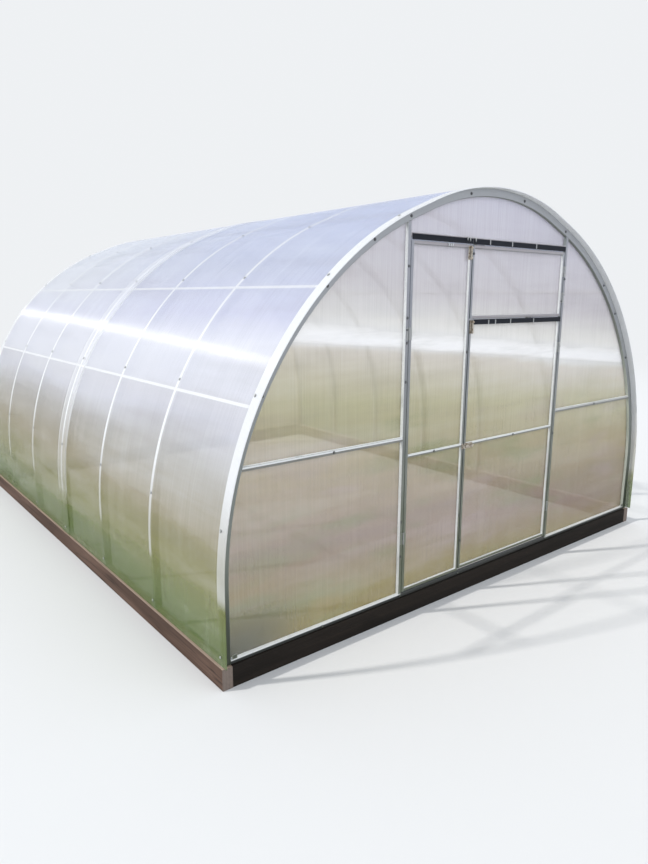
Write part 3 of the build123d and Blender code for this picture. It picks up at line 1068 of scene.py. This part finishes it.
@dataclass
class Gables(Part):
    """Front and rear frames of square tube with their sheets.

    Posts and side rails start as long as their stock, and are cut to the arch.
    """

    side_rail: float = 0.938
    head_rail: float = 1.907
    post_stock: float = 2.1
    rail_stock: float = 1.65

    @property
    def reach(self) -> float:
        """Radius inside which the frame stays."""
        return self.house.inner - self.house.gap

    def cut(self, piece: Piece, verts: list[Vert], angle: float) -> None:
        """Cut a tube to the inside of the arch, at an angle in radians."""
        degrees = math.degrees(angle)
        piece.trim(verts, self.house.rim(degrees, self.reach, 0.0), self.house.outwards(degrees))

    def base_rail(self, name: str, near: float, far: float) -> None:
        """Build the bottom tube of a gable, between two places along Y."""
        house = self.house
        piece = Piece(name + "_tube")
        piece.tube((-self.reach, near, house.sill), (self.reach, far, house.sill + house.tube), Axis.X)
        piece.finish([self.finishes.rail], HOUSE, Slot.STEEL, [name])

    def posts(self, name: str, near: float, far: float) -> None:
        """Build the two posts of a gable, between two places along Y."""
        house = self.house
        piece = Piece(name + "_pair")
        half = house.tube / 2
        for middle in (-house.post, house.post):
            low = (middle - half, near, house.sill + house.tube)
            verts = piece.tube(low, (middle + half, far, self.post_stock), Axis.Z)
            self.cut(piece, verts, math.acos(middle / self.reach))
        piece.finish([self.finishes.frame], HOUSE, Slot.STEEL, [name])

    def rails(self, name: str, near: float, far: float, middles: Sequence[float]) -> None:
        """Build the side rails and the rails between the posts.

        Args:
            name: The CAD node of the rails.
            near: Lowest place along Y.
            far: Highest place along Y.
            middles: Heights of the rails between the posts.
        """
        house = self.house
        piece = Piece(name + "_set")
        half = house.tube / 2
        lift = math.asin((self.side_rail - house.bend) / self.reach)
        for side, angle in ((-1, math.pi - lift), (1, lift)):
            low, high = sorted((side * (house.post + half), side * self.rail_stock))
            verts = piece.tube((low, near, self.side_rail - half), (high, far, self.side_rail + half), Axis.X)
            self.cut(piece, verts, angle)
        inside = house.post - half
        for height in middles:
            piece.tube((-inside, near, height - half), (inside, far, height + half), Axis.X)
        piece.finish([self.finishes.rail], HOUSE, Slot.STEEL, [name])

    def build(self, nodes: Nodes) -> None:
        """Build both gables."""
        face, tube = self.house.face, self.house.tube
        for name, near, middles, sheet in (
            ("front", -face, (self.head_rail,), self.finishes.gable),
            ("rear", face - tube, (self.head_rail, self.side_rail), self.finishes.rear_gable),
        ):
            self.base_rail(f"{name}_base_rail", near, near + tube)
            self.posts(f"{name}_posts", near, near + tube)
            self.rails(f"{name}_rails", near, near + tube, middles)
            dress(nodes[f"{name}_side_panels"], sheet, shade=False)
            dress(nodes[f"{name}_top_panel"], sheet, shade=False)
        dress(nodes["rear_middle_panel"], self.finishes.rear_gable, shade=False)


@dataclass
class Leaves(Part):
    """Framed leaves of the front gable."""

    tube: float = 0.015
    corner: float = 0.002

    def leaf(self, name: str, body: str, low: Pair, high: Pair, middles: Sequence[float]) -> None:
        """Build the stiles and rails of a leaf.

        Args:
            name: Start of the names of its CAD nodes.
            body: The CAD body that it rides on.
            low: Its left side and its foot.
            high: Its right side and its head.
            middles: Heights of its rails between the lowest and the highest.
        """
        front = -self.house.face
        back = front + self.tube
        half = self.tube / 2
        (left, foot), (right, head) = low, high
        stiles = Piece(name + "_stile_pair")
        for start in (left, right - self.tube):
            stiles.tube((start, front, foot), (start + self.tube, back, head), Axis.Z, self.corner)
        stiles.finish([self.finishes.frame], body, Slot.STEEL, [name + "_stiles"])
        rails = Piece(name + "_rail_set")
        for height in (foot + half, *middles, head - half):
            start = (left + self.tube, front, height - half)
            rails.tube(start, (right - self.tube, back, height + half), Axis.X, self.corner)
        rails.finish([self.finishes.rail], body, Slot.STEEL, [name + "_rails"])

    def build(self, nodes: Nodes) -> None:
        """Build the leaves and dress their sheets."""
        for name, body, low, high, middles in (
            ("side_leaf", SIDE_LEAF, (-0.641, 0.126), (-0.203, 1.880), (0.846,)),
            ("door", DOOR, (-0.197, 0.134), (0.641, 1.505), (0.846,)),
            ("vent", HOUSE, (-0.197, 1.514), (0.641, 1.880), ()),
        ):
            self.leaf(name, body, low, high, middles)
            dress(nodes[name + "_panel"], self.finishes.gable, shade=False)


@dataclass
class Fittings(Part):
    """Seals, hinges and bolts."""

    def build(self, nodes: Nodes) -> None:
        """Dress the small CAD nodes."""
        for name in ("head_seals", "door_seal"):
            dress(nodes[name], self.finishes.rubber)
        for name in ("post_hinges", "door_hinges", "side_leaf_hinges", "vent_hinges"):
            dress(nodes[name], self.finishes.hinge)
        for name in ("door_bolts", "side_leaf_bolt", "side_leaf_keeper"):
            dress(nodes[name], self.finishes.fitting)


@dataclass
class Fixings(Part):
    """Screws on the tubes and sheets, clips and hooks at the seals, and foot brackets.

    Screws on the arches and the roof are given by their angle in degrees, and
    those on the arches sit at a share of the tube's depth. A head is the radius
    of a screw's washer and the height of the whole screw. A clip stands above
    and below the middle of its seal. A bracket lies between two places to the
    side, two heights and two distances in front of the gable.
    """

    seat: float = 0.0003
    sheet: float = 0.004
    arch_screws: tuple[float, ...] = (152.0, 133.0, 121.5, 112.8, 99.8, 81.0, 67.9, 48.5, 40.0, 27.7)
    roof_screws: tuple[float, ...] = (8.7, 27.7, 48.4, 65.0)
    foot_screw: float = 0.145
    face_head: Pair = (0.0066, 0.0052)
    arch_head: Pair = (0.0075, 0.0058)
    roof_head: Pair = (0.0075, 0.0032)
    foot_head: Pair = (0.0055, 0.0045)
    arch_share: float = 0.55
    seal: float = 0.0031
    clip_half: float = 0.0040
    clip_depth: float = 0.0014
    clip_below: float = 0.0105
    clip_above: float = 0.0145
    hook_bar: float = 0.0024
    bracket_sides: Pair = (1.630, 1.654)
    bracket_heights: Pair = (0.1215, 0.140)
    bracket_depths: Pair = (0.0018, 0.0002)
    bracket_screw: Pair = (1.642, 0.131)
    edge: float = 0.0005

    def _end(self, piece: Piece, body: str, head: Material | None = None) -> None:
        """Finish a group of screws."""
        materials = [head or self.finishes.screw, self.finishes.rubber, self.finishes.rail]
        piece.finish(materials, body, Slot.FITTINGS)

    def gable(self) -> None:
        """Drive small screws into the posts, rails and leaves, at their x and height."""
        post = self.house.post
        left = [(-post, height) for height in (1.763, 1.525, 1.469, 1.407, 1.220, 0.511, 0.324, 0.110)]
        right = [(post, height) for height in (1.728, 1.637, 1.336, 0.800, 0.110)]
        rails = [(-1.103, 0.938), (1.121, 0.938), (-1.169, 0.110), (1.169, 0.110), (-0.200, 0.110)]
        for name, body, places in (
            ("frame_screws", HOUSE, left + right + rails),
            ("side_leaf_screws", SIDE_LEAF, ((-0.2105, 1.343), (-0.434, 0.846), (-0.2105, 0.450))),
            ("door_screws", DOOR, ((0.242, 0.846), (-0.1895, 0.300))),
            ("vent_screws", HOUSE, ((0.6335, 1.600), (-0.1895, 1.838))),
        ):
            piece = Piece(name)
            for x, height in places:
                piece.screw((x, -self.house.face, height), FORWARDS, *self.face_head)
            self._end(piece, body)

    def arches(self) -> None:
        """Screw the gable sheets to the end arches."""
        house = self.house
        for name, end in (("front_arch_screws", -1), ("rear_arch_screws", 1)):
            piece = Piece(name)
            for degrees in self.arch_screws:
                spot = house.rim(degrees, house.radius - house.arch_depth * self.arch_share, end * house.face)
                piece.screw(spot, (0.0, end, 0.0), *self.arch_head)
            self._end(piece, HOUSE)

    def roof(self) -> None:
        """Screw the bent sheets to every arch, with wide washers."""
        house = self.house
        piece = Piece("roof_screws")
        for number in range(house.bays + 1):
            y = house.bay * (number - house.bays / 2)
            lapped = number * 2 == house.bays
            radius = house.radius + (2 if lapped else 1) * (self.seat + self.sheet)
            for side in (1, -1):
                for degrees in self.roof_screws:
                    angle = degrees if side > 0 else 180.0 - degrees
                    piece.screw(house.rim(angle, radius, y), house.outwards(angle), *self.roof_head)
                piece.screw((side * radius, y, self.foot_screw), (side, 0.0, 0.0), *self.roof_head)
        self._end(piece, HOUSE, self.finishes.hinge)

    def clips(self) -> None:
        """Hold the rubber seals with pale clips."""
        front = -self.house.face - self.seal
        for name, body, height, spots in (
            ("head_clips", HOUSE, 1.8975, (-0.065, 0.124, 0.346)),
            ("door_clips", DOOR, 1.4915, (-0.045, 0.014, 0.148, 0.365)),
        ):
            piece = Piece(name)
            for x in spots:
                low = (x - self.clip_half, front - self.clip_depth, height - self.clip_below)
                piece.box(low, (x + self.clip_half, front, height + self.clip_above), 0.0006)
            piece.finish([self.finishes.hinge], body, Slot.FITTINGS)

    def hooks(self) -> None:
        """Hang small hooks on the head's seal and on the narrow leaf, at their x and height."""
        face = -self.house.face
        heads = ((-0.256, 1.915), (-0.236, 1.913), (-0.192, 1.912))
        leaves = ((-0.390, 1.8765), (-0.376, 1.8765), (-0.362, 1.8765))
        for name, body, finish, back, places, reach, drop, stem in (
            ("head_hooks", HOUSE, self.finishes.hinge, face - self.seal, heads, 0.009, 0.018, 0.0024),
            ("side_leaf_hooks", SIDE_LEAF, self.finishes.clip, face, leaves, 0.007, 0.0145, 0.0022),
        ):
            piece = Piece(name)
            bar = back - reach
            for x, height in places:
                piece.rod((x, back, height), (x, bar - 0.001, height), stem)
                piece.rod((x, bar, height + 0.0015), (x, bar, height - drop), self.hook_bar)
            piece.finish([finish], body, Slot.FITTINGS)

    def brackets(self) -> None:
        """Tie the front arch to the base rail with a plate at each foot."""
        front, back = (-self.house.face - depth for depth in self.bracket_depths)
        foot, top = self.bracket_heights
        place, height = self.bracket_screw
        piece = Piece("foot_brackets")
        piece.layer = 2
        for side in (-1, 1):
            low, high = sorted(side * value for value in self.bracket_sides)
            piece.box((low, front, foot), (high, back, top), self.edge)
            piece.screw((side * place, front, height), FORWARDS, *self.foot_head)
        self._end(piece, HOUSE)

    def build(self, _: Nodes) -> None:
        """Build all the fixings."""
        self.gable()
        self.arches()
        self.roof()
        self.clips()
        self.hooks()
        self.brackets()


@dataclass
class Studio:
    """Floor, light, background and camera."""

    focal: float = 647.2
    frame_height: float = 864.0
    eye: Triple = (-2.907, -4.184, 1.623)
    yaw: float = 38.78
    pitch: float = 11.82
    roll: float = 0.19
    sun: Triple = (-0.650, 0.337, 0.681)
    fill: Triple = (0.25, -0.85, 0.45)
    backdrop: Colour = (0.86, 0.88, 0.90)
    sky: Colour = (0.72, 0.77, 0.85)
    ground: Colour = (0.72, 0.72, 0.71)
    ground_radius: float = 30.0
    ground_fade: Pair = (5.0, 16.0)

    def camera(self) -> None:
        """Stand the camera where the photograph was taken."""
        yaw, pitch, roll = (math.radians(value) for value in (self.yaw, self.pitch, self.roll))
        data = bpy.data.cameras.new("photo_camera")
        data.sensor_fit = "VERTICAL"
        data.sensor_height = 36.0
        data.lens = self.focal / self.frame_height * data.sensor_height
        data.clip_end = 200.0
        made = show("photo_camera", data)
        aim = Matrix.Rotation(-yaw, 4, "Z") @ Matrix.Rotation(math.pi / 2 - pitch, 4, "X")
        made.matrix_world = Matrix.Translation(self.eye) @ aim @ Matrix.Rotation(roll, 4, "Z")
        bpy.context.scene.camera = made

    def floor(self) -> None:
        """Lay a pale floor that fades into the background."""
        mesh = bmesh.new()
        bmesh.ops.create_circle(mesh, cap_ends=True, segments=96, radius=self.ground_radius)
        data = bpy.data.meshes.new("studio_floor")
        mesh.to_mesh(data)
        mesh.free()
        recipe = Recipe("floor_pale")
        sockets = {"Base Color": (*self.ground, 1.0), "Roughness": 0.9}
        matt = recipe.node("ShaderNodeBsdfPrincipled", {}, sockets)
        glow = recipe.node("ShaderNodeEmission", {}, {0: (*self.backdrop, 1.0), 1: 1.0})
        x, y, _ = recipe.axes()
        far = (x * x + y * y).apply("SQRT").rise(*self.ground_fade)
        mixed = recipe.node("ShaderNodeMixShader", {}, {0: far, 1: matt, 2: glow})
        data.materials.append(recipe.close(mixed))
        show("studio_floor", data)

    def light(self) -> None:
        """Set a key light from behind on the left, and a soft fill without glints from the front."""
        for name, way, energy, degrees, colour, glints in (
            ("key_light", self.sun, 2.0, 3.2, (1.0, 0.98, 0.95), 1.0),
            ("fill_light", self.fill, 0.8, 60.0, (1.0, 1.0, 1.0), 0.0),
        ):
            data = bpy.data.lights.new(name, "SUN")
            data.energy = energy
            data.angle = math.radians(degrees)
            data.color = colour
            data.specular_factor = glints
            show(name, data).rotation_euler = Vector(way).to_track_quat("Z", "Y").to_euler()

    def world(self) -> None:
        """Show a pale background, and light the object a little less."""
        recipe = Recipe("studio", "World")
        rays = ("Is Camera Ray", "Is Glossy Ray", "Is Transmission Ray")
        camera, glossy, through = (recipe.node("ShaderNodeLightPath", out=ray) for ray in rays)
        tones = (self.sky, self.backdrop)
        lit, seen = (recipe.node("ShaderNodeBackground", {}, {0: (*tone, 1.0)}) for tone in tones)
        sockets = {0: camera.most(glossy).most(through), 1: lit, 2: seen}
        bpy.context.scene.world = recipe.close(recipe.node("ShaderNodeMixShader", {}, sockets))

    def build(self) -> None:
        """Set up the whole studio."""
        scene = bpy.context.scene
        scene.view_settings.view_transform = "Standard"
        scene.cycles.transparent_max_bounces = 32
        self.camera()
        self.floor()
        self.light()
        self.world()


def main() -> None:
    """Build every sub-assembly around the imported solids."""
    logging.basicConfig(level=logging.INFO, format="%(message)s")
    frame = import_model()
    nodes = frame["nodes"]
    Studio().build()
    house = House()
    finishes = mix_finishes()
    for part in (Sills, Arches, RoofSheets, Gables, Leaves, Fittings, Fixings):
        part(house, finishes).build(nodes)


if __name__ == "__main__":
    main()
